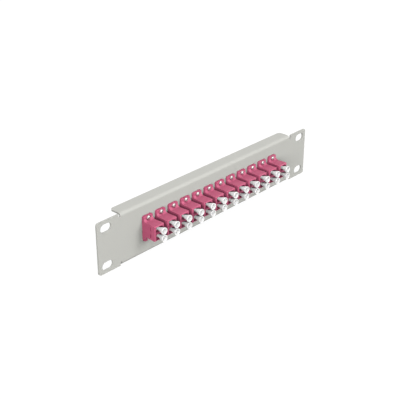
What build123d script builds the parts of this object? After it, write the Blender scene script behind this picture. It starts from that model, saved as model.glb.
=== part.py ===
"""Ten inch fibre patch panel, one rack unit high, with twelve duplex adapters and their dust caps.

Frame: X runs along the panel to the right seen from the front, Y points back into the rack and
Z is up. The origin is the centre of the four rack slots, on the rear face of the sheet, which is
the face that meets the rack. The front of the panel looks along -Y. All sizes are millimetres.
"""

import os

from build123d import *

# Panel sheet
PANEL_WIDTH = 254.0
PANEL_HEIGHT = 44.0
SHEET = 1.5
PANEL_CORNER = 2.0
EAR_LENGTH = 23.8
FOLD_DEPTH = 12.0
FOLD_RADIUS = 2.7
FOLD_CORNER = 3.0
NOTCH_WIDTH = 2.1
NOTCH_PAST_FOLD = 0.5

# Rack slots
SLOT_FROM_END = 8.7375
SLOT_PITCH = 31.75
SLOT_LENGTH = 10.7
SLOT_WIDTH = 6.8

# Row of adapters
ADAPTER_COUNT = 12
ADAPTER_PITCH = 13.95
PORT_PITCH = 6.25
ROW_RISE = 0.5
CUTOUT_CLEARANCE = 0.15

# Adapter housing, made of two like halves that are welded in the middle of the flange
FLANGE_HEIGHT = 22.0
FLANGE_THICKNESS = 1.8
FLANGE_CORNER = 1.4
BODY_WIDTH = 9.8
BODY_HEIGHT = 12.6
BODY_REACH = 14.0
BODY_EDGE = 0.35
ROOT_RADIUS = 2.6
COLLAR_LENGTH = 3.9
COLLAR_PROUD = 0.25
WINDOW_HEIGHT = 3.2
WINDOW_LENGTH = 1.6
WINDOW_DEPTH = 0.7

# Port of the housing, across the row in X and along the row of two in Z
PORT_WIDTH = 4.65
PORT_PLAIN_SIDE = 3.6
PORT_LATCH_SIDE = 1.1
TAB_LENGTH = 0.5
TAB_REACH = 0.35
LEDGE_END = 2.75
KEYWAY_WIDTH = 2.65
KEYWAY_END = 4.25
PORT_FLOOR = 1.5

# Barrel that holds the alignment sleeve in each port
BARREL_DIAMETER = 2.8
BARREL_RECESS = 4.5
BARREL_MOUTH = 1.45
SLEEVE_CLEARANCE = 0.04

# Split alignment sleeve
SLEEVE_OUTER = 1.62
SLEEVE_INNER = 1.246
SLEEVE_LENGTH = 11.4
SLEEVE_SLIT = 0.2
SLEEVE_END_PLAY = 0.1

# Dust cap
CAP_SHANK = 4.3
CAP_FIT = 0.05
CAP_FLOOR_GAP = 0.3
CAP_TIP_GAP = 0.4
CAP_END_WALL = 0.6
CAP_NECK = 2.5
CAP_NECK_DEPTH = 0.4
CAP_RIM = 5.7
CAP_RIM_LENGTH = 0.9
CAP_REACH = 5.7
CAP_RIM_WALL = 0.6
CAP_CUP_DEPTH = 4.4
CAP_CUP_FLOOR = 1.6

# Screws and nuts that hold the flanges
SCREW_PITCH = 17.2
SCREW_DIAMETER = 2.0
SCREW_LENGTH = 6.0
SCREW_HEAD = 3.8
SCREW_HEAD_HEIGHT = 1.4
SCREW_HEAD_EDGE = 0.5
HOLE_CLEARANCE = 0.1
SPOT_CLEARANCE = 0.35
THREAD_CLEARANCE = 0.02
NUT_ACROSS_FLATS = 4.0
NUT_HEIGHT = 1.4

# Places worked out from the sizes above
fold_length = PANEL_WIDTH - 2 * EAR_LENGTH
notch_x = fold_length + NOTCH_WIDTH
notch_end = PANEL_HEIGHT / 2 - FOLD_RADIUS - NOTCH_PAST_FOLD
slot_row = PANEL_WIDTH - 2 * SLOT_FROM_END
cutout_width = BODY_WIDTH + 2 * CUTOUT_CLEARANCE
cutout_height = BODY_HEIGHT + 2 * CUTOUT_CLEARANCE
weld_y = -(SHEET + FLANGE_THICKNESS / 2)
face = BODY_REACH - FLANGE_THICKNESS / 2
half_flange = FLANGE_THICKNESS / 2
barrel_tip = face - BARREL_RECESS
sleeve_end = SLEEVE_LENGTH / 2 + SLEEVE_END_PLAY
row_x = [(i - (ADAPTER_COUNT - 1) / 2) * ADAPTER_PITCH for i in range(ADAPTER_COUNT)]
port_rise = {"upper": PORT_PITCH / 2, "lower": -PORT_PITCH / 2}

# Planes in the middle of the row of adapters, seen from the front and from the back
front_weld = Plane(origin=(0, weld_y, ROW_RISE), x_dir=(1, 0, 0), z_dir=(0, -1, 0))
rear_weld = Plane(origin=(0, weld_y, ROW_RISE), x_dir=(1, 0, 0), z_dir=(0, 1, 0))
screw_seat = front_weld.offset(FLANGE_THICKNESS / 2)
nut_seat = rear_weld.offset(-weld_y)
rear_sheet = Plane(origin=(0, 0, 0), x_dir=(1, 0, 0), z_dir=(0, 1, 0))

os.makedirs("parts", exist_ok=True)


def save(piece, label):
    """Label a finished piece and write it."""
    piece.label = label
    export_step(piece, f"parts/{label}.step")


# Folded sheet: a channel between two flat ears, with relief notches where the folds end
with BuildPart() as panel:
    with BuildSketch(Plane.YZ):
        with Locations((FOLD_DEPTH / 2 - SHEET, 0)):
            outer = Rectangle(FOLD_DEPTH, PANEL_HEIGHT)
        fillet(outer.vertices().group_by(Axis.X)[0], FOLD_RADIUS)
        with BuildSketch(Plane.XY, mode=Mode.SUBTRACT):
            with Locations((FOLD_DEPTH / 2, 0)):
                hollow = Rectangle(FOLD_DEPTH, PANEL_HEIGHT - 2 * SHEET)
            fillet(hollow.vertices().group_by(Axis.X)[0], FOLD_RADIUS - SHEET)
    extrude(amount=fold_length / 2, both=True)
    fold_ends = panel.edges().filter_by(Axis.Z).group_by(Axis.Y)[-1]
    fillet(fold_ends, FOLD_CORNER)
    with BuildSketch(rear_sheet):
        RectangleRounded(PANEL_WIDTH, PANEL_HEIGHT, PANEL_CORNER)
        Rectangle(fold_length, PANEL_HEIGHT, mode=Mode.SUBTRACT)
    extrude(amount=-SHEET)
    with BuildSketch(rear_sheet):
        with GridLocations(notch_x, 2 * PANEL_HEIGHT, 2, 2):
            SlotOverall(2 * (PANEL_HEIGHT - notch_end), NOTCH_WIDTH, rotation=90)
    extrude(amount=-SHEET, mode=Mode.SUBTRACT)
    with BuildSketch(rear_sheet):
        with GridLocations(slot_row, SLOT_PITCH, 2, 2):
            SlotOverall(SLOT_LENGTH, SLOT_WIDTH)
    extrude(amount=-SHEET, mode=Mode.SUBTRACT)
    with BuildSketch(nut_seat):
        with GridLocations(ADAPTER_PITCH, 0, ADAPTER_COUNT, 1):
            Rectangle(cutout_width, cutout_height)
        with GridLocations(ADAPTER_PITCH, SCREW_PITCH, ADAPTER_COUNT, 2):
            Circle(SCREW_DIAMETER / 2 + HOLE_CLEARANCE)
    extrude(amount=-SHEET, mode=Mode.SUBTRACT)
save(panel.part, "panel")


def port_outline():
    """Outline of one port round its barrel, as a polygon in a sketch."""
    half = PORT_WIDTH / 2
    tab = half - TAB_REACH
    tab_end = PORT_LATCH_SIDE + TAB_LENGTH
    key = KEYWAY_WIDTH / 2
    side = [
        (-PORT_PLAIN_SIDE, half),
        (PORT_LATCH_SIDE, half),
        (PORT_LATCH_SIDE, tab),
        (tab_end, tab),
        (tab_end, half),
        (LEDGE_END, half),
        (LEDGE_END, key),
        (KEYWAY_END, key),
    ]
    other_side = [(x, -z) for x, z in reversed(side)]
    Polygon(*side, *other_side, align=None)


def housing_half(front):
    """One moulded half in its own frame: the weld is at z = 0 and the ports open towards +z.

    The front half also has the flange roots, the screw seats and the collar with its windows. The
    rear half stays plain, so that it passes through the cut-out of the sheet.
    """
    with BuildPart() as half:
        with BuildSketch():
            RectangleRounded(BODY_WIDTH, FLANGE_HEIGHT, FLANGE_CORNER)
        extrude(amount=half_flange)
        with BuildSketch(Plane.XY.offset(half_flange)):
            Rectangle(BODY_WIDTH, BODY_HEIGHT)
        extrude(amount=face - half_flange)
        if front:
            across = half.edges().filter_by(Axis.X).group_by(Axis.Z)[1]
            roots = across.filter_by_position(Axis.Y, -BODY_HEIGHT / 2, BODY_HEIGHT / 2)
            fillet(roots, ROOT_RADIUS)
            with BuildSketch(Plane.XY.offset(face - COLLAR_LENGTH)):
                Rectangle(BODY_WIDTH + 2 * COLLAR_PROUD, BODY_HEIGHT)
            extrude(amount=COLLAR_LENGTH)
        chamfer(half.faces().sort_by(Axis.Z)[-1].edges(), BODY_EDGE)
        with BuildSketch(Plane.XY.offset(PORT_FLOOR)):
            with GridLocations(0, PORT_PITCH, 1, 2):
                port_outline()
        extrude(amount=face, mode=Mode.SUBTRACT)
        with BuildSketch(Plane.XY.offset(PORT_FLOOR)):
            with GridLocations(0, PORT_PITCH, 1, 2):
                Circle(BARREL_DIAMETER / 2)
        extrude(amount=barrel_tip - PORT_FLOOR)
        with GridLocations(0, PORT_PITCH, 1, 2):
            Hole(BARREL_MOUTH / 2)
        with BuildSketch():
            with GridLocations(0, PORT_PITCH, 1, 2):
                Circle(SLEEVE_OUTER / 2 + SLEEVE_CLEARANCE)
        extrude(amount=sleeve_end, mode=Mode.SUBTRACT)
        with GridLocations(0, SCREW_PITCH, 1, 2):
            Hole(SCREW_DIAMETER / 2 + HOLE_CLEARANCE)
        if front:
            with BuildSketch(Plane.XY.offset(half_flange)):
                with GridLocations(0, SCREW_PITCH, 1, 2):
                    Circle(SCREW_HEAD / 2 + SPOT_CLEARANCE)
            extrude(amount=ROOT_RADIUS, mode=Mode.SUBTRACT)
            with BuildSketch(Plane.YZ.offset(-BODY_WIDTH / 2)):
                with Locations((0, face - COLLAR_LENGTH - WINDOW_LENGTH / 2)):
                    with GridLocations(PORT_PITCH, 0, 2, 1):
                        Rectangle(WINDOW_HEIGHT, WINDOW_LENGTH)
            extrude(amount=WINDOW_DEPTH, mode=Mode.SUBTRACT)
    return half.part


# Adapter housings
front_half = housing_half(True)
rear_half = housing_half(False)
for number, centre_x in enumerate(row_x, start=1):
    with BuildPart() as front_housing:
        with Locations(front_weld * Location((centre_x, 0, 0))):
            add(front_half)
    save(front_housing.part, f"front_housing_{number:02d}")
    with BuildPart() as rear_housing:
        with Locations(rear_weld * Location((centre_x, 0, 0))):
            add(rear_half)
    save(rear_housing.part, f"rear_housing_{number:02d}")

# Split sleeves: one in the barrels of each port, across the weld
with BuildPart() as alignment_sleeves:
    with BuildSketch(front_weld.offset(-SLEEVE_LENGTH / 2)):
        with GridLocations(ADAPTER_PITCH, PORT_PITCH, ADAPTER_COUNT, 2):
            Circle(SLEEVE_OUTER / 2)
            Circle(SLEEVE_INNER / 2, mode=Mode.SUBTRACT)
            with Locations((SLEEVE_OUTER / 2, 0)):
                Rectangle(SLEEVE_OUTER, SLEEVE_SLIT, mode=Mode.SUBTRACT)
    extrude(amount=SLEEVE_LENGTH)
save(alignment_sleeves.part, "alignment_sleeves")


def cap():
    """One dust cap in the frame of the housing half that it closes."""
    shank = CAP_SHANK / 2
    bore = BARREL_DIAMETER / 2 + CAP_FIT
    foot = PORT_FLOOR + CAP_FLOOR_GAP
    bore_end = barrel_tip + CAP_TIP_GAP
    shank_end = bore_end + CAP_END_WALL
    neck = CAP_NECK / 2
    rim = CAP_RIM / 2
    end = face + CAP_REACH
    with BuildPart() as body:
        with BuildSketch(Plane.XZ):
            with BuildLine():
                Polyline(
                    (bore, foot),
                    (shank, foot),
                    (shank, shank_end),
                    (neck, shank_end),
                    (neck, face - CAP_NECK_DEPTH),
                    (rim, end - CAP_RIM_LENGTH),
                    (rim, end),
                    (rim - CAP_RIM_WALL, end),
                    (CAP_CUP_FLOOR / 2, end - CAP_CUP_DEPTH),
                    (0, end - CAP_CUP_DEPTH),
                    (0, bore_end),
                    (bore, bore_end),
                    close=True,
                )
            make_face()
        revolve(axis=Axis.Z)
    return body.part


# Dust caps: each front one slides in its own port, the rear ones are kept as one group
dust_cap = cap()
for number, centre_x in enumerate(row_x, start=1):
    for level, rise in port_rise.items():
        with BuildPart() as front_cap:
            with Locations(front_weld * Location((centre_x, rise, 0))):
                add(dust_cap)
        save(front_cap.part, f"front_cap_{number:02d}_{level}")

with BuildPart() as rear_dust_caps:
    with Locations(rear_weld):
        with GridLocations(ADAPTER_PITCH, PORT_PITCH, ADAPTER_COUNT, 2):
            add(dust_cap)
save(rear_dust_caps.part, "rear_dust_caps")

# Pan head screws, in from the front through flange and sheet
with BuildPart() as one_screw:
    with BuildSketch():
        Circle(SCREW_HEAD / 2)
    extrude(amount=SCREW_HEAD_HEIGHT)
    chamfer(one_screw.edges().sort_by(Axis.Z)[-1], SCREW_HEAD_EDGE)
    with BuildSketch():
        Circle(SCREW_DIAMETER / 2)
    extrude(amount=-SCREW_LENGTH)
with BuildPart() as flange_screws:
    with Locations(screw_seat):
        with GridLocations(ADAPTER_PITCH, SCREW_PITCH, ADAPTER_COUNT, 2):
            add(one_screw.part)
save(flange_screws.part, "flange_screws")

# Hexagon nuts against the rear of the sheet
with BuildPart() as flange_nuts:
    with BuildSketch(nut_seat):
        with GridLocations(ADAPTER_PITCH, SCREW_PITCH, ADAPTER_COUNT, 2):
            RegularPolygon(NUT_ACROSS_FLATS / 2, 6, major_radius=False)
            Circle(SCREW_DIAMETER / 2 + THREAD_CLEARANCE, mode=Mode.SUBTRACT)
    extrude(amount=NUT_HEIGHT)
save(flange_nuts.part, "flange_nuts")
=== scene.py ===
"""Fibre patch panel: finishes, detailed pieces, studio and camera, run as a script."""

import math

import bmesh
import bpy
from bpy.props import FloatProperty, FloatVectorProperty, IntProperty, PointerProperty
from mathutils import Matrix, Vector


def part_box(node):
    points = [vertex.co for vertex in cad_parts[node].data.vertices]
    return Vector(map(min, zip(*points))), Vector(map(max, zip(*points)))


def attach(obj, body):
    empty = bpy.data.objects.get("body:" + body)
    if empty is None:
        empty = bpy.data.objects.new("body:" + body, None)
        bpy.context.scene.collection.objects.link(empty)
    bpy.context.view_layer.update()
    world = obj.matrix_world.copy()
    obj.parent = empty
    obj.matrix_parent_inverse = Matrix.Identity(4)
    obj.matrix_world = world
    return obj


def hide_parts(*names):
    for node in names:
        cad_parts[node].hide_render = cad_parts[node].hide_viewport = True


bl_info = {
    "name": "Fibre patch panel",
    "version": (1, 0, 0),
    "blender": (4, 5, 0),
    "location": "View3D > Sidebar > Patch panel",
    "description": "Finishes the folded panel, its adapters, screws, nuts and dust caps",
    "category": "Object",
}

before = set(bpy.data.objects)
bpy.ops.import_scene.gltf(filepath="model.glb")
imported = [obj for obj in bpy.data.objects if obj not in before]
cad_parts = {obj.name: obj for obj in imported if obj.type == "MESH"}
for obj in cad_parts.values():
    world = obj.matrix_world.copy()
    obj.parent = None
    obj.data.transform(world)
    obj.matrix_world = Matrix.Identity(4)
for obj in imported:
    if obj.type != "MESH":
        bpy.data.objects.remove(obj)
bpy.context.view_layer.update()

MM = 0.001
CARRIER = "panel_body"
FULL_TURN = 2 * math.pi
NO_TURN = (0, 0, 0)
TURN_SEED = 7


def numbered(stem):
    """Names of the frame's nodes that start with a stem, in order."""
    return sorted(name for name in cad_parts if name.startswith(stem))


def middle(node):
    """Middle of a node's box at rest."""
    low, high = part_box(node)
    return (Vector(low) + Vector(high)) / 2


FRONT_HOUSINGS = numbered("front_housing_")
REAR_HOUSINGS = numbered("rear_housing_")
FRONT_CAPS = numbered("front_cap_")
ADAPTER_COUNT = len(FRONT_HOUSINGS)
ADAPTER_PITCH = middle(FRONT_HOUSINGS[1]).x - middle(FRONT_HOUSINGS[0]).x
PORT_SPACING = middle(FRONT_CAPS[1]).z - middle(FRONT_CAPS[0]).z
ROW_HEIGHT = middle(FRONT_CAPS[0]).z + PORT_SPACING / 2
FLOOR_GAP = 0.2 * MM
FLOOR_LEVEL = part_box("panel")[0][2] - FLOOR_GAP
FLANGE_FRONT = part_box("flange_screws")[0][1]
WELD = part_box(FRONT_HOUSINGS[0])[1][1]
NUT_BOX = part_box("flange_nuts")
SCREW_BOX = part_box("flange_screws")


# Settings that a user would change


class SheetSettings(bpy.types.PropertyGroup):
    colour: FloatVectorProperty(
        name="Powder coat",
        description="Colour of the powder coat",
        subtype="COLOR",
        default=(0.53, 0.53, 0.497),
    )
    edge: FloatProperty(
        name="Edge round",
        description="Radius that the coat gives to every cut edge",
        unit="LENGTH",
        default=0.55 * MM,
    )


class AdapterSettings(bpy.types.PropertyGroup):
    colour: FloatVectorProperty(
        name="Moulding",
        description="Colour of the moulded housings",
        subtype="COLOR",
        default=(0.605, 0.12, 0.224),
    )
    edge: FloatProperty(
        name="Edge round",
        description="Radius on the edges of the moulding",
        unit="LENGTH",
        default=0.14 * MM,
    )


class CapSettings(bpy.types.PropertyGroup):
    colour: FloatVectorProperty(
        name="Cap",
        description="Colour of the dust caps",
        subtype="COLOR",
        default=(0.97, 0.97, 0.965),
    )
    rim: FloatProperty(
        name="Rim diameter", description="Outside of the cap's rim", unit="LENGTH", default=5.7 * MM
    )
    rim_wall: FloatProperty(
        name="Rim wall", description="Thickness of the rim", unit="LENGTH", default=0.6 * MM
    )
    rim_length: FloatProperty(
        name="Rim length", description="Straight length of the rim", unit="LENGTH", default=0.9 * MM
    )
    neck: FloatProperty(
        name="Neck diameter", description="Narrowest place", unit="LENGTH", default=2.5 * MM
    )
    flare: FloatProperty(
        name="Flare length", description="From the neck to the rim's end", unit="LENGTH", default=6.1 * MM
    )
    shank: FloatProperty(
        name="Shank diameter", description="Outside of the shank", unit="LENGTH", default=4.3 * MM
    )
    bore: FloatProperty(
        name="Shank bore", description="Bore over the barrel", unit="LENGTH", default=2.9 * MM
    )
    bore_length: FloatProperty(
        name="Bore length", description="Depth of the bore", unit="LENGTH", default=7.2 * MM
    )
    end_wall: FloatProperty(
        name="End wall", description="Thickness of the shank past its bore", unit="LENGTH", default=0.6 * MM
    )
    cup_depth: FloatProperty(
        name="Cup depth", description="Depth of the open end", unit="LENGTH", default=4.4 * MM
    )
    cup_floor: FloatProperty(
        name="Cup floor", description="Diameter of the cup's floor", unit="LENGTH", default=1.6 * MM
    )
    segments: IntProperty(name="Segments", description="Facets round the cap", default=48)


class ScrewSettings(bpy.types.PropertyGroup):
    head: FloatProperty(
        name="Head diameter", description="Across the pan head", unit="LENGTH", default=3.8 * MM
    )
    head_height: FloatProperty(
        name="Head height", description="Height of the pan head", unit="LENGTH", default=1.4 * MM
    )
    recess: FloatProperty(
        name="Recess", description="Length of the cross recess", unit="LENGTH", default=2.2 * MM
    )
    recess_arm: FloatProperty(
        name="Recess arm", description="Width of an arm of the cross", unit="LENGTH", default=0.5 * MM
    )
    recess_depth: FloatProperty(
        name="Recess depth", description="Depth of the cross", unit="LENGTH", default=0.8 * MM
    )
    shank: FloatProperty(
        name="Thread diameter", description="Over the thread", unit="LENGTH", default=2.0 * MM
    )
    pitch: FloatProperty(
        name="Thread pitch", description="From turn to turn", unit="LENGTH", default=0.4 * MM
    )
    thread_depth: FloatProperty(
        name="Thread depth", description="From crest to root", unit="LENGTH", default=0.2 * MM
    )
    flats: FloatProperty(
        name="Nut", description="Across the flats of the nut", unit="LENGTH", default=4.0 * MM
    )


class StudioSettings(bpy.types.PropertyGroup):
    key: FloatProperty(name="Key", description="Power of the key light", unit="POWER", default=85.0)
    fill: FloatProperty(name="Fill", description="Power of the fill light", unit="POWER", default=46.0)
    back: FloatProperty(
        name="Back", description="Power of the lamp behind the panel", unit="POWER", default=78.0
    )
    sky: FloatProperty(name="Sky", description="Strength of the surroundings overhead", default=0.88)
    ground: FloatProperty(name="Ground", description="Strength of the surroundings below", default=0.06)
    floor: FloatProperty(name="Floor", description="Lightness of the floor to the panel", default=0.12)
    azimuth: FloatProperty(
        name="Azimuth",
        description="Turn of the camera round the panel, from straight in front",
        subtype="ANGLE",
        default=math.radians(-47.492),
    )
    elevation: FloatProperty(
        name="Elevation",
        description="Height of the camera above level",
        subtype="ANGLE",
        default=math.radians(26.464),
    )
    distance: FloatProperty(
        name="Distance", description="From the camera to its target", unit="LENGTH", default=0.713376
    )
    target: FloatVectorProperty(
        name="Target",
        description="Point in the middle of the view",
        unit="LENGTH",
        default=(-15.864 * MM, -1.5 * MM, 1.182 * MM),
    )
    lens: FloatProperty(name="Lens", description="Focal length in millimetres", default=78.366)


# Shader maths as Python expressions


class Signal:
    """A number in a material's nodes that takes part in Python expressions."""

    def __init__(self, finish, socket):
        self.finish = finish
        self.socket = socket

    def __add__(self, other):
        return self.finish.maths("ADD", self, other)

    def __radd__(self, other):
        return self.finish.maths("ADD", other, self)

    def __mul__(self, other):
        return self.finish.maths("MULTIPLY", self, other)

    def __rmul__(self, other):
        return self.finish.maths("MULTIPLY", other, self)

    def clamped(self):
        """The same signal, held between 0 and 1."""
        return self.finish.maths("ADD", self, 0.0, use_clamp=True)


class Finish:
    """One procedural material round a Principled shader."""

    def __init__(self, name, colour, roughness, **constants):
        self.material = bpy.data.materials.new(name)
        self.material.use_nodes = True
        self.material.diffuse_color = (*colour, 1.0)
        self.tree = self.material.node_tree
        self.tree.nodes.clear()
        self.output = self.node("ShaderNodeOutputMaterial")
        self.shader = self.node("ShaderNodeBsdfPrincipled")
        self.shader.inputs["Base Color"].default_value = (*colour, 1.0)
        self.shader.inputs["Roughness"].default_value = roughness
        for socket, value in constants.items():
            self.shader.inputs[socket.replace("_", " ")].default_value = value
        self.tree.links.new(self.shader.outputs[0], self.output.inputs["Surface"])
        self.place = self.node("ShaderNodeTexCoord").outputs["Object"]
        self.colour = colour

    def node(self, kind, settings=None, **sockets):
        """Add a node: settings go on first, then values or links on its sockets."""
        made = self.tree.nodes.new(kind)
        for name, value in (settings or {}).items():
            setattr(made, name, value)
        for name, value in sockets.items():
            self.join(value, made.inputs[name.replace("_", " ")])
        return made

    def join(self, value, socket):
        """Put a number, a signal or a socket on an input."""
        if isinstance(value, Signal):
            value = value.socket
        if isinstance(value, bpy.types.NodeSocket):
            self.tree.links.new(value, socket)
        else:
            socket.default_value = value

    def maths(self, operation, first, second, use_clamp=False):
        """Work out a new signal from two numbers or signals."""
        made = self.node("ShaderNodeMath", {"operation": operation, "use_clamp": use_clamp})
        self.join(first, made.inputs[0])
        self.join(second, made.inputs[1])
        return Signal(self, made.outputs[0])

    def noise(self, size, detail=2.0, roughness=0.5):
        """Noise from 0 to 1 whose lumps are about the given size in metres."""
        made = self.node(
            "ShaderNodeTexNoise",
            Vector=self.place,
            Scale=1 / size,
            Detail=detail,
            Roughness=roughness,
        )
        return Signal(self, made.outputs["Fac"])

    def stretched_noise(self, size, stretch, detail=2.0):
        """Noise drawn out along the axes by the given factors."""
        mapping = self.node("ShaderNodeMapping", Vector=self.place, Scale=[1 / s for s in stretch])
        made = self.node(
            "ShaderNodeTexNoise", Vector=mapping.outputs[0], Scale=1 / size, Detail=detail
        )
        return Signal(self, made.outputs["Fac"])

    def vary_colour(self, amount, other):
        """Mix the base colour with another one by a signal."""
        mix = self.node("ShaderNodeMix", {"data_type": "RGBA"})
        self.join(amount, mix.inputs[0])
        mix.inputs[6].default_value = (*self.colour, 1.0)
        mix.inputs[7].default_value = (*other, 1.0)
        self.tree.links.new(mix.outputs[2], self.shader.inputs["Base Color"])

    def vary_roughness(self, signal):
        self.join(signal, self.shader.inputs["Roughness"])

    def bump(self, height, distance):
        """Raise the surface by a height signal, with full height at the given distance."""
        bump = self.node("ShaderNodeBump", Strength=1.0, Distance=distance)
        self.join(height, bump.inputs["Height"])
        self.tree.links.new(bump.outputs[0], self.shader.inputs["Normal"])


def shade(colour, factor):
    """A colour made lighter or darker by a factor."""
    return tuple(min(1.0, part * factor) for part in colour)


def powder_coat(colour):
    """Satin powder coat: fine orange peel, faint clouds of tone and a little sparkle in the gloss."""
    coat = Finish("powder_coat", colour, 0.5, Specular_IOR_Level=0.12)
    clouds = coat.noise(30 * MM, detail=3.0)
    speckle = coat.noise(0.5 * MM, detail=2.0)
    coat.vary_colour((clouds * 0.6 + speckle * 0.4).clamped(), shade(colour, 0.93))
    coat.vary_roughness(0.42 + speckle * 0.16)
    coat.bump(coat.noise(0.9 * MM, detail=3.0, roughness=0.6), 0.05 * MM)
    return coat.material


def violet_moulding(colour):
    """Moulded housing: eroded mould texture, faint flow marks and slightly glossier rubbed patches."""
    moulding = Finish("violet_moulding", colour, 0.4, Specular_IOR_Level=0.38)
    flow = moulding.stretched_noise(2.5 * MM, (1.0, 4.0, 1.0))
    texture = moulding.noise(0.14 * MM, detail=3.0)
    moulding.vary_colour((flow * 0.7 + texture * 0.3).clamped(), shade(colour, 0.86))
    moulding.vary_roughness(0.34 + texture * 0.14 + flow * 0.06)
    moulding.bump(texture, 0.012 * MM)
    return moulding.material


def milky_plastic(colour):
    """Soft white cap plastic that lets a little light through."""
    plastic = Finish(
        "milky_cap_plastic",
        colour,
        0.32,
        Subsurface_Weight=0.2,
        Subsurface_Radius=(1.0, 0.95, 0.9),
        Subsurface_Scale=0.6 * MM,
    )
    cloud = plastic.noise(1.6 * MM, detail=2.0)
    grain = plastic.noise(0.2 * MM, detail=2.0)
    plastic.vary_colour(cloud.clamped(), shade(colour, 0.97))
    plastic.vary_roughness(0.27 + grain * 0.12)
    plastic.bump(grain, 0.008 * MM)
    return plastic.material


def nickel_plate():
    """Bright plated steel with fine turning marks and a few duller spots."""
    plate = Finish("nickel_plate", (0.68, 0.67, 0.65), 0.26, Metallic=1.0)
    marks = plate.stretched_noise(0.12 * MM, (3.0, 1.0, 3.0))
    spots = plate.noise(0.7 * MM, detail=2.0)
    plate.vary_colour(spots.clamped(), (0.58, 0.57, 0.55))
    plate.vary_roughness(0.2 + marks * 0.1 + spots * 0.08)
    plate.bump(marks, 0.006 * MM)
    return plate.material


def zirconia():
    """Polished off white ceramic of the split sleeves."""
    ceramic = Finish("zirconia", (0.86, 0.85, 0.8), 0.12)
    cloud = ceramic.noise(0.8 * MM)
    ceramic.vary_colour(cloud.clamped(), (0.82, 0.8, 0.74))
    ceramic.vary_roughness(0.1 + cloud * 0.06)
    return ceramic.material


def seen(nodes, links):
    """A factor of 1 for what the camera sees, straight or in a mirror, and 0 for diffuse light."""
    path = nodes.new("ShaderNodeLightPath")
    total = path.outputs["Is Camera Ray"]
    for name in ("Is Glossy Ray", "Is Transmission Ray"):
        join = nodes.new("ShaderNodeMath")
        join.operation = "MAXIMUM"
        links.new(total, join.inputs[0])
        links.new(path.outputs[name], join.inputs[1])
        total = join.outputs[0]
    return total


# Mesh helpers

SAME_POINT = 0.002 * MM
SAME_PLANE = math.radians(0.6)
SHARP_EDGE = math.radians(40)
SHARP_TURNING = math.radians(35)
ON_AXIS = 1e-7
LONGEST_CUT = 0.45


def new_object(name, mesh):
    """Add an object for a mesh or other data to the scene."""
    made = bpy.data.objects.new(name, mesh)
    bpy.context.scene.collection.objects.link(made)
    return made


def baked(made):
    """Turn an object's modifiers into plain mesh."""
    bpy.context.view_layer.update()
    evaluated = made.evaluated_get(bpy.context.evaluated_depsgraph_get())
    mesh = bpy.data.meshes.new_from_object(evaluated)
    made.modifiers.clear()
    old = made.data
    made.data = mesh
    bpy.data.meshes.remove(old)
    mesh.name = made.name
    return made


def paint(made, material):
    """Give a piece one material all over."""
    made.data.materials.clear()
    made.data.materials.append(material)


def joined_copy(node, name):
    """A copy of a CAD node's mesh with its loose triangles joined into clean faces."""
    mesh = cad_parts[node].data.copy()
    shell = bmesh.new()
    shell.from_mesh(mesh)
    bmesh.ops.remove_doubles(shell, verts=shell.verts, dist=SAME_POINT)
    bmesh.ops.dissolve_limit(shell, angle_limit=SAME_PLANE, verts=shell.verts, edges=shell.edges)
    bmesh.ops.recalc_face_normals(shell, faces=shell.faces)
    shell.to_mesh(mesh)
    shell.free()
    return new_object(name, mesh)


def round_edges(made, width, segments):
    """Round every sharp edge of a piece, and shade its faces smoothly between them."""
    made.data.polygons.foreach_set("use_smooth", [True] * len(made.data.polygons))
    bevel = made.modifiers.new("Edges", "BEVEL")
    bevel.width = width
    bevel.segments = segments
    bevel.limit_method = "ANGLE"
    bevel.angle_limit = SHARP_EDGE
    bevel.use_clamp_overlap = True
    flats = made.modifiers.new("Flats", "WEIGHTED_NORMAL")
    flats.mode = "FACE_AREA"
    flats.weight = 100
    return baked(made)


def soften(points, radius, steps=5):
    """An outline with each corner turned into a small arc; the first and last points stay."""
    outline = [points[0]]
    for before, corner, after in zip(points, points[1:], points[2:]):
        before, corner, after = Vector(before), Vector(corner), Vector(after)
        shorter = min((before - corner).length, (after - corner).length)
        reach = min(radius, shorter * LONGEST_CUT)
        start = corner + (before - corner).normalized() * reach
        end = corner + (after - corner).normalized() * reach
        for step in range(steps + 1):
            t = step / steps
            outline.append(tuple((1 - t) ** 2 * start + 2 * t * (1 - t) * corner + t**2 * end))
    outline.append(points[-1])
    return outline


def bridge(shell, first, second):
    """Join two loops of as many points with faces; points in one spot make triangles."""
    for i in range(len(first)):
        corners = [first[i - 1], first[i], second[i], second[i - 1]]
        unique = list(dict.fromkeys(corners))
        if len(unique) > 2:
            shell.faces.new(unique)


def turned(name, rows, segments):
    """A closed shape turned about -Y. Each row is (radius, out), or a function of the angle giving it."""
    shell = bmesh.new()
    rings = []
    for row in rows:
        spots = [row(FULL_TURN * i / segments) if callable(row) else row for i in range(segments)]
        if max(radius for radius, out in spots) < ON_AXIS:
            rings.append([shell.verts.new((0, -spots[0][1], 0))] * segments)
            continue
        ring = []
        for i, (radius, out) in enumerate(spots):
            angle = FULL_TURN * i / segments
            ring.append(shell.verts.new((radius * math.cos(angle), -out, radius * math.sin(angle))))
        rings.append(ring)
    for first, second in zip(rings, rings[1:]):
        bridge(shell, first, second)
    bmesh.ops.remove_doubles(shell, verts=shell.verts, dist=ON_AXIS)
    bmesh.ops.recalc_face_normals(shell, faces=shell.faces)
    mesh = bpy.data.meshes.new(name)
    shell.to_mesh(mesh)
    shell.free()
    mesh.shade_smooth()
    mesh.set_sharp_from_angle(angle=SHARP_TURNING)
    return new_object(name, mesh)


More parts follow.
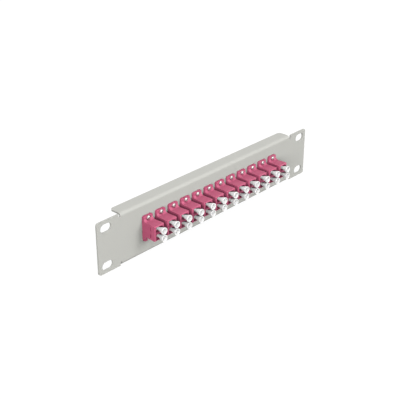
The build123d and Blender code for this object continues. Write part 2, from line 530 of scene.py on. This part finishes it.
def grid_tree():
    """Geometry nodes that repeat a piece over a grid in the panel's plane."""
    name = "Repeat over panel"
    if name in bpy.data.node_groups:
        return bpy.data.node_groups[name]
    tree = bpy.data.node_groups.new(name, "GeometryNodeTree")
    tree.interface.new_socket("Piece", in_out="INPUT", socket_type="NodeSocketGeometry")
    for label, kind in (
        ("Columns", "NodeSocketInt"),
        ("Rows", "NodeSocketInt"),
        ("Width", "NodeSocketFloat"),
        ("Height", "NodeSocketFloat"),
        ("Centre", "NodeSocketVector"),
        ("Turn", "NodeSocketVector"),
        ("Loose turn", "NodeSocketVector"),
        ("Finish", "NodeSocketMaterial"),
    ):
        tree.interface.new_socket(label, in_out="INPUT", socket_type=kind)
    tree.interface.new_socket("Pieces", in_out="OUTPUT", socket_type="NodeSocketGeometry")
    given = tree.nodes.new("NodeGroupInput")
    result = tree.nodes.new("NodeGroupOutput")
    grid = tree.nodes.new("GeometryNodeMeshGrid")
    place = tree.nodes.new("GeometryNodeTransform")
    place.inputs["Rotation"].default_value = (math.pi / 2, 0, 0)
    chance = tree.nodes.new("FunctionNodeRandomValue")
    chance.data_type = "FLOAT_VECTOR"
    chance.inputs["Seed"].default_value = TURN_SEED
    turn = tree.nodes.new("ShaderNodeVectorMath")
    spread = tree.nodes.new("GeometryNodeInstanceOnPoints")
    realize = tree.nodes.new("GeometryNodeRealizeInstances")
    finish = tree.nodes.new("GeometryNodeSetMaterial")
    link = tree.links.new
    link(given.outputs["Columns"], grid.inputs["Vertices X"])
    link(given.outputs["Rows"], grid.inputs["Vertices Y"])
    link(given.outputs["Width"], grid.inputs["Size X"])
    link(given.outputs["Height"], grid.inputs["Size Y"])
    link(grid.outputs["Mesh"], place.inputs["Geometry"])
    link(given.outputs["Centre"], place.inputs["Translation"])
    link(place.outputs["Geometry"], spread.inputs["Points"])
    link(given.outputs["Piece"], spread.inputs["Instance"])
    link(given.outputs["Loose turn"], chance.inputs["Max"])
    link(given.outputs["Turn"], turn.inputs[0])
    link(chance.outputs["Value"], turn.inputs[1])
    link(turn.outputs["Vector"], spread.inputs["Rotation"])
    link(spread.outputs["Instances"], realize.inputs["Geometry"])
    link(realize.outputs["Geometry"], finish.inputs["Geometry"])
    link(given.outputs["Finish"], finish.inputs["Material"])
    link(finish.outputs["Geometry"], result.inputs["Pieces"])
    return tree


def repeat(
    master,
    name,
    material,
    centre,
    columns=1,
    rows=1,
    pitch=0.0,
    spacing=0.0,
    turn=NO_TURN,
    loose_turn=NO_TURN,
):
    """Repeat a master piece over a grid of columns and rows, as one plain mesh.

    turn rotates each copy, and loose_turn is the most that each turns further by chance.
    """
    tree = grid_tree()
    carrier = new_object(name, master.data.copy())
    modifier = carrier.modifiers.new("Repeat", "NODES")
    modifier.node_group = tree
    values = {
        "Columns": columns,
        "Rows": rows,
        "Width": pitch * (columns - 1),
        "Height": spacing * (rows - 1),
        "Centre": tuple(centre),
        "Turn": turn,
        "Loose turn": loose_turn,
        "Finish": material,
    }
    for item in tree.interface.items_tree:
        if item.in_out == "INPUT" and item.name in values:
            modifier[item.identifier] = values[item.name]
    return baked(carrier)


def discard(master):
    """Remove a master piece and its mesh."""
    mesh = master.data
    bpy.data.objects.remove(master)
    bpy.data.meshes.remove(mesh)


def settle(made, body, slot, *nodes):
    """Let a finished piece ride on its body in place of its nodes."""
    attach(made, body)
    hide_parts(*nodes)


# Studio

SENSOR_WIDTH = 36.0
NEAREST = 0.01
WHITE = (1.0, 1.0, 1.0, 1.0)
PAPER = (0.8, 0.8, 0.8, 1.0)
GROUND_TOP = -0.25
SKY_BOTTOM = 0.35
FLOOR_REACH = 6.0
FLOOR_GLOW = 1.1
GLOWING_SHARE = 0.86


class PATCH_OT_studio(bpy.types.Operator):
    """Camera, lamps, surroundings and floor"""

    bl_idname = "patch.studio"
    bl_label = "Studio"

    def execute(self, context):
        studio = context.scene.patch_studio
        context.scene.view_settings.view_transform = "Standard"
        context.scene.cycles.diffuse_bounces = 0
        self.camera(context, studio)
        self.lamps(studio)
        self.surroundings(context, studio)
        self.floor(studio)
        return {"FINISHED"}

    def camera(self, context, studio):
        side, height = studio.azimuth, studio.elevation
        back = Vector(
            (
                math.sin(side) * math.cos(height),
                -math.cos(side) * math.cos(height),
                math.sin(height),
            )
        )
        data = bpy.data.cameras.new("Camera")
        data.lens = studio.lens
        data.sensor_width = SENSOR_WIDTH
        data.clip_start = NEAREST
        camera = new_object("Camera", data)
        camera.location = Vector(studio.target) + studio.distance * back
        camera.rotation_euler = back.to_track_quat("Z", "Y").to_euler()
        context.scene.camera = camera

    def lamps(self, studio):
        """Round lamps aimed at the panel: name, power, diameter, place and whether mirrors show it."""
        plan = (
            ("Key", studio.key, 2.2, Vector((-2.5, -1.9, 0.65)), False),
            ("Fill", studio.fill, 1.6, Vector((0.9, -2.7, 1.5)), True),
            ("Back", studio.back, 1.6, Vector((1.7, 3.3, 0.5)), False),
        )
        for name, power, size, place, mirrored in plan:
            data = bpy.data.lights.new(name, "AREA")
            data.energy = power
            data.shape = "DISK"
            data.size = size
            lamp = new_object(name, data)
            lamp.location = place
            lamp.rotation_euler = place.to_track_quat("Z", "Y").to_euler()
            lamp.visible_glossy = mirrored

    def surroundings(self, context, studio):
        """White to the camera and in mirrors; for diffuse light a soft sky over dark ground."""
        world = bpy.data.worlds.new("Surroundings")
        context.scene.world = world
        world.use_nodes = True
        nodes, links = world.node_tree.nodes, world.node_tree.links
        nodes.clear()
        output = nodes.new("ShaderNodeOutputWorld")
        backdrop = nodes.new("ShaderNodeBackground")
        backdrop.inputs["Color"].default_value = WHITE
        around = nodes.new("ShaderNodeBackground")
        height = nodes.new("ShaderNodeSeparateXYZ")
        blend = nodes.new("ShaderNodeMapRange")
        blend.inputs["From Min"].default_value = GROUND_TOP
        blend.inputs["From Max"].default_value = SKY_BOTTOM
        blend.inputs["To Min"].default_value = studio.ground
        blend.inputs["To Max"].default_value = studio.sky
        mix = nodes.new("ShaderNodeMixShader")
        links.new(nodes.new("ShaderNodeTexCoord").outputs["Generated"], height.inputs[0])
        links.new(height.outputs["Z"], blend.inputs["Value"])
        links.new(blend.outputs["Result"], around.inputs["Strength"])
        links.new(seen(nodes, links), mix.inputs["Fac"])
        links.new(around.outputs[0], mix.inputs[1])
        links.new(backdrop.outputs[0], mix.inputs[2])
        links.new(mix.outputs[0], output.inputs["Surface"])

    def floor(self, studio):
        """Sheet of paper, white where it is seen, with a faint shadow, that throws little light back."""
        shell = bmesh.new()
        level = Matrix.Translation((0, 0, FLOOR_LEVEL))
        bmesh.ops.create_grid(shell, x_segments=4, y_segments=4, size=FLOOR_REACH, matrix=level)
        mesh = bpy.data.meshes.new("floor")
        shell.to_mesh(mesh)
        shell.free()
        floor = new_object("floor", mesh)
        material = bpy.data.materials.new("studio_floor")
        material.use_nodes = True
        nodes, links = material.node_tree.nodes, material.node_tree.links
        nodes.clear()
        output = nodes.new("ShaderNodeOutputMaterial")
        dull = nodes.new("ShaderNodeBsdfDiffuse")
        dull.inputs["Color"].default_value = (studio.floor, studio.floor, studio.floor, 1.0)
        paper = nodes.new("ShaderNodeBsdfDiffuse")
        paper.inputs["Color"].default_value = PAPER
        glow = nodes.new("ShaderNodeEmission")
        glow.inputs["Color"].default_value = WHITE
        glow.inputs["Strength"].default_value = FLOOR_GLOW
        white = nodes.new("ShaderNodeMixShader")
        white.inputs["Fac"].default_value = GLOWING_SHARE
        mix = nodes.new("ShaderNodeMixShader")
        links.new(paper.outputs[0], white.inputs[1])
        links.new(glow.outputs[0], white.inputs[2])
        links.new(seen(nodes, links), mix.inputs["Fac"])
        links.new(dull.outputs[0], mix.inputs[1])
        links.new(white.outputs[0], mix.inputs[2])
        links.new(mix.outputs[0], output.inputs["Surface"])
        mesh.materials.append(material)


# Pieces

SHEET_ROUNDS = 3
MOULDING_ROUNDS = 2
CAP_ROUND = 0.25 * MM
HEAD_EDGE = 0.35
DOME_STEPS = 8
THREAD_STEPS = 6
HEAD_SEGMENTS = 36
CROSS_OVERRUN = 0.1 * MM
CROSS_FLOOR = 0.4
CROSS_FLOOR_ARM = 0.7
NUT_SEGMENTS = 48
NUT_CHAMFER = math.radians(25)
NUT_LEAD = 0.15 * MM
NUT_FACE = 0.97


class PATCH_OT_sheet(bpy.types.Operator):
    """Folded sheet with coated, rounded edges"""

    bl_idname = "patch.sheet"
    bl_label = "Folded sheet"

    def execute(self, context):
        sheet = context.scene.patch_sheet
        made = round_edges(joined_copy("panel", "coated_sheet"), sheet.edge, SHEET_ROUNDS)
        paint(made, powder_coat(sheet.colour))
        settle(made, CARRIER, "sheet", "panel")
        return {"FINISHED"}


class PATCH_OT_housings(bpy.types.Operator):
    """Front and rear halves of the adapters"""

    bl_idname = "patch.housings"
    bl_label = "Adapter housings"

    def execute(self, context):
        adapter = context.scene.patch_adapter
        material = violet_moulding(adapter.colour)
        for nodes, label in ((FRONT_HOUSINGS, "front"), (REAR_HOUSINGS, "rear")):
            first = joined_copy(nodes[0], f"moulded_{label}_01")
            round_edges(first, adapter.edge, MOULDING_ROUNDS)
            paint(first, material)
            for number, node in enumerate(nodes, start=1):
                made = first
                if number > 1:
                    made = new_object(f"moulded_{label}_{number:02d}", first.data.copy())
                    made.data.transform(Matrix.Translation(middle(node) - middle(nodes[0])))
                settle(made, CARRIER, "adapter", node)
        return {"FINISHED"}


class PATCH_OT_caps(bpy.types.Operator):
    """White dust caps: one piece on each front cap's body, one group behind"""

    bl_idname = "patch.caps"
    bl_label = "Dust caps"

    def execute(self, context):
        cap = context.scene.patch_cap
        material = milky_plastic(cap.colour)
        master = self.master(cap)
        for node in FRONT_CAPS:
            centre = middle(node)
            made = repeat(master, node.replace("front_cap", "white_cap"), material, (centre.x, 0, centre.z))
            settle(made, node, "cap", node)
        rear = repeat(
            master,
            "white_caps_rear",
            material,
            (0, 2 * WELD, ROW_HEIGHT),
            columns=ADAPTER_COUNT,
            rows=2,
            pitch=ADAPTER_PITCH,
            spacing=PORT_SPACING,
            turn=(math.pi, 0, 0),
        )
        settle(rear, CARRIER, "cap", "rear_dust_caps")
        discard(master)
        return {"FINISHED"}

    def master(self, cap):
        """Cap on the Y axis at its real depth: bored shank, neck, flare, and an open cup."""
        low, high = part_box(FRONT_CAPS[0])
        end, foot = -low[1], -high[1]
        neck_out = end - cap.flare
        bore_end = foot + cap.bore_length
        outline = [
            (0, bore_end),
            (cap.bore / 2, bore_end),
            (cap.bore / 2, foot),
            (cap.shank / 2, foot),
            (cap.shank / 2, bore_end + cap.end_wall),
            (cap.neck / 2, bore_end + cap.end_wall),
            (cap.neck / 2, neck_out),
            (cap.rim / 2, end - cap.rim_length),
            (cap.rim / 2, end),
            (cap.rim / 2 - cap.rim_wall, end),
            (cap.cup_floor / 2, end - cap.cup_depth),
            (0, end - cap.cup_depth),
        ]
        return turned("cap_master", soften(outline, CAP_ROUND), cap.segments)


class PATCH_OT_screws(bpy.types.Operator):
    """Pan head screws with cross recess and thread, and their nuts"""

    bl_idname = "patch.screws"
    bl_label = "Flange screws"

    def execute(self, context):
        screw = context.scene.patch_screw
        material = nickel_plate()
        spacing = SCREW_BOX[1][2] - SCREW_BOX[0][2] - screw.head
        layout = {"columns": ADAPTER_COUNT, "rows": 2, "pitch": ADAPTER_PITCH, "spacing": spacing}
        head = self.head(screw)
        seat = (0, FLANGE_FRONT + screw.head_height, ROW_HEIGHT)
        any_turn = (0, math.pi / 2, 0)
        screws = repeat(head, "plated_screws", material, seat, loose_turn=any_turn, **layout)
        settle(screws, CARRIER, "plated_steel", "flange_screws")
        nut = self.nut(screw)
        nut_face = (0, NUT_BOX[1][1], ROW_HEIGHT)
        nuts = repeat(nut, "plated_nuts", material, nut_face, **layout)
        settle(nuts, CARRIER, "plated_steel", "flange_nuts")
        discard(head)
        discard(nut)
        return {"FINISHED"}

    def head(self, screw):
        """Screw with its head's underside at out = 0 and its thread behind."""
        length = SCREW_BOX[1][1] - SCREW_BOX[0][1] - screw.head_height
        crest = screw.shank / 2
        radius = screw.head / 2

        def threaded(out):
            def row(angle):
                phase = (out / screw.pitch - angle / FULL_TURN) % 1.0
                return crest - screw.thread_depth * abs(2 * phase - 1), out

            return row

        steps = int(length / screw.pitch * THREAD_STEPS)
        thread = [threaded(-length + length * (i + 1) / (steps + 2)) for i in range(steps)]
        edge = screw.head_height * HEAD_EDGE
        rise = screw.head_height - edge
        quarter = [math.pi / 2 * i / DOME_STEPS for i in range(1, DOME_STEPS)]
        dome = [(radius * math.cos(t), edge + rise * math.sin(t)) for t in quarter]
        rows = [(0, -length), (crest - screw.thread_depth, -length), *thread, (crest, 0), (radius, 0)]
        rows += [(radius, edge), *dome, (0, screw.head_height)]
        made = turned("screw_master", rows, HEAD_SEGMENTS)
        cutter = self.cross(screw)
        cut = made.modifiers.new("Cross recess", "BOOLEAN")
        cut.operation = "DIFFERENCE"
        cut.solver = "EXACT"
        cut.object = cutter
        baked(made)
        discard(cutter)
        return made

    def cross(self, screw):
        """Tapered cross that cuts the recess."""
        shell = bmesh.new()
        top = screw.head_height + CROSS_OVERRUN
        floor = screw.head_height - screw.recess_depth
        arm = screw.recess_arm / 2
        loops = []
        full = screw.recess / 2
        for out, reach, half in ((top, full, arm), (floor, full * CROSS_FLOOR, arm * CROSS_FLOOR_ARM)):
            quarter = ((reach, -half), (reach, half), (half, half))
            loop = []
            for turn in range(4):
                spin = Matrix.Rotation(-turn * math.pi / 2, 4, "Y")
                loop += [shell.verts.new(spin @ Vector((x, -out, z))) for x, z in quarter]
            loops.append(loop)
        bridge(shell, *loops)
        for loop in loops:
            shell.faces.new(loop)
        bmesh.ops.recalc_face_normals(shell, faces=shell.faces)
        mesh = bpy.data.meshes.new("cross")
        shell.to_mesh(mesh)
        shell.free()
        return new_object("cross", mesh)

    def nut(self, screw):
        """Hexagon nut with chamfered corners, its outer face at out = 0."""
        height = NUT_BOX[1][1] - NUT_BOX[0][1]
        half = screw.flats / 2
        bore = screw.shank / 2
        slope = math.tan(NUT_CHAMFER)

        def flank(angle):
            inside = (angle + math.pi / 6) % (math.pi / 3) - math.pi / 6
            return half / math.cos(inside)

        def near(angle):
            return flank(angle), height - (flank(angle) - half) * slope

        def far(angle):
            return flank(angle), (flank(angle) - half) * slope

        rows = [
            (bore, height - NUT_LEAD),
            (bore + NUT_LEAD, height),
            (half * NUT_FACE, height),
            near,
            far,
            (half * NUT_FACE, 0),
            (bore + NUT_LEAD, 0),
            (bore, NUT_LEAD),
            (bore, height - NUT_LEAD),
        ]
        return turned("nut_master", rows, NUT_SEGMENTS)


class PATCH_OT_sleeves(bpy.types.Operator):
    """Ceramic finish on the split sleeves in the barrels"""

    bl_idname = "patch.sleeves"
    bl_label = "Alignment sleeves"

    def execute(self, context):
        paint(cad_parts["alignment_sleeves"], zirconia())
        return {"FINISHED"}


class PATCH_PT_sidebar(bpy.types.Panel):
    """Steps and settings of the patch panel"""

    bl_idname = "PATCH_PT_sidebar"
    bl_label = "Patch panel"
    bl_space_type = "VIEW_3D"
    bl_region_type = "UI"
    bl_category = "Patch panel"

    def draw(self, context):
        for step in STEPS:
            self.layout.operator(step.bl_idname)
        for name, kind in SETTINGS.items():
            group = getattr(context.scene, name)
            box = self.layout.box()
            for prop in kind.__annotations__:
                box.prop(group, prop)


STEPS = (
    PATCH_OT_studio,
    PATCH_OT_sheet,
    PATCH_OT_housings,
    PATCH_OT_caps,
    PATCH_OT_screws,
    PATCH_OT_sleeves,
)
SETTINGS = {
    "patch_sheet": SheetSettings,
    "patch_adapter": AdapterSettings,
    "patch_cap": CapSettings,
    "patch_screw": ScrewSettings,
    "patch_studio": StudioSettings,
}
CLASSES = (*SETTINGS.values(), *STEPS, PATCH_PT_sidebar)


def register():
    for kind in CLASSES:
        bpy.utils.register_class(kind)
    for name, kind in SETTINGS.items():
        setattr(bpy.types.Scene, name, PointerProperty(type=kind))


def unregister():
    for name in SETTINGS:
        delattr(bpy.types.Scene, name)
    for kind in reversed(CLASSES):
        bpy.utils.unregister_class(kind)


def main():
    register()
    bpy.ops.patch.studio()
    bpy.ops.patch.sheet()
    bpy.ops.patch.housings()
    bpy.ops.patch.caps()
    bpy.ops.patch.screws()
    bpy.ops.patch.sleeves()


if __name__ == "__main__":
    main()
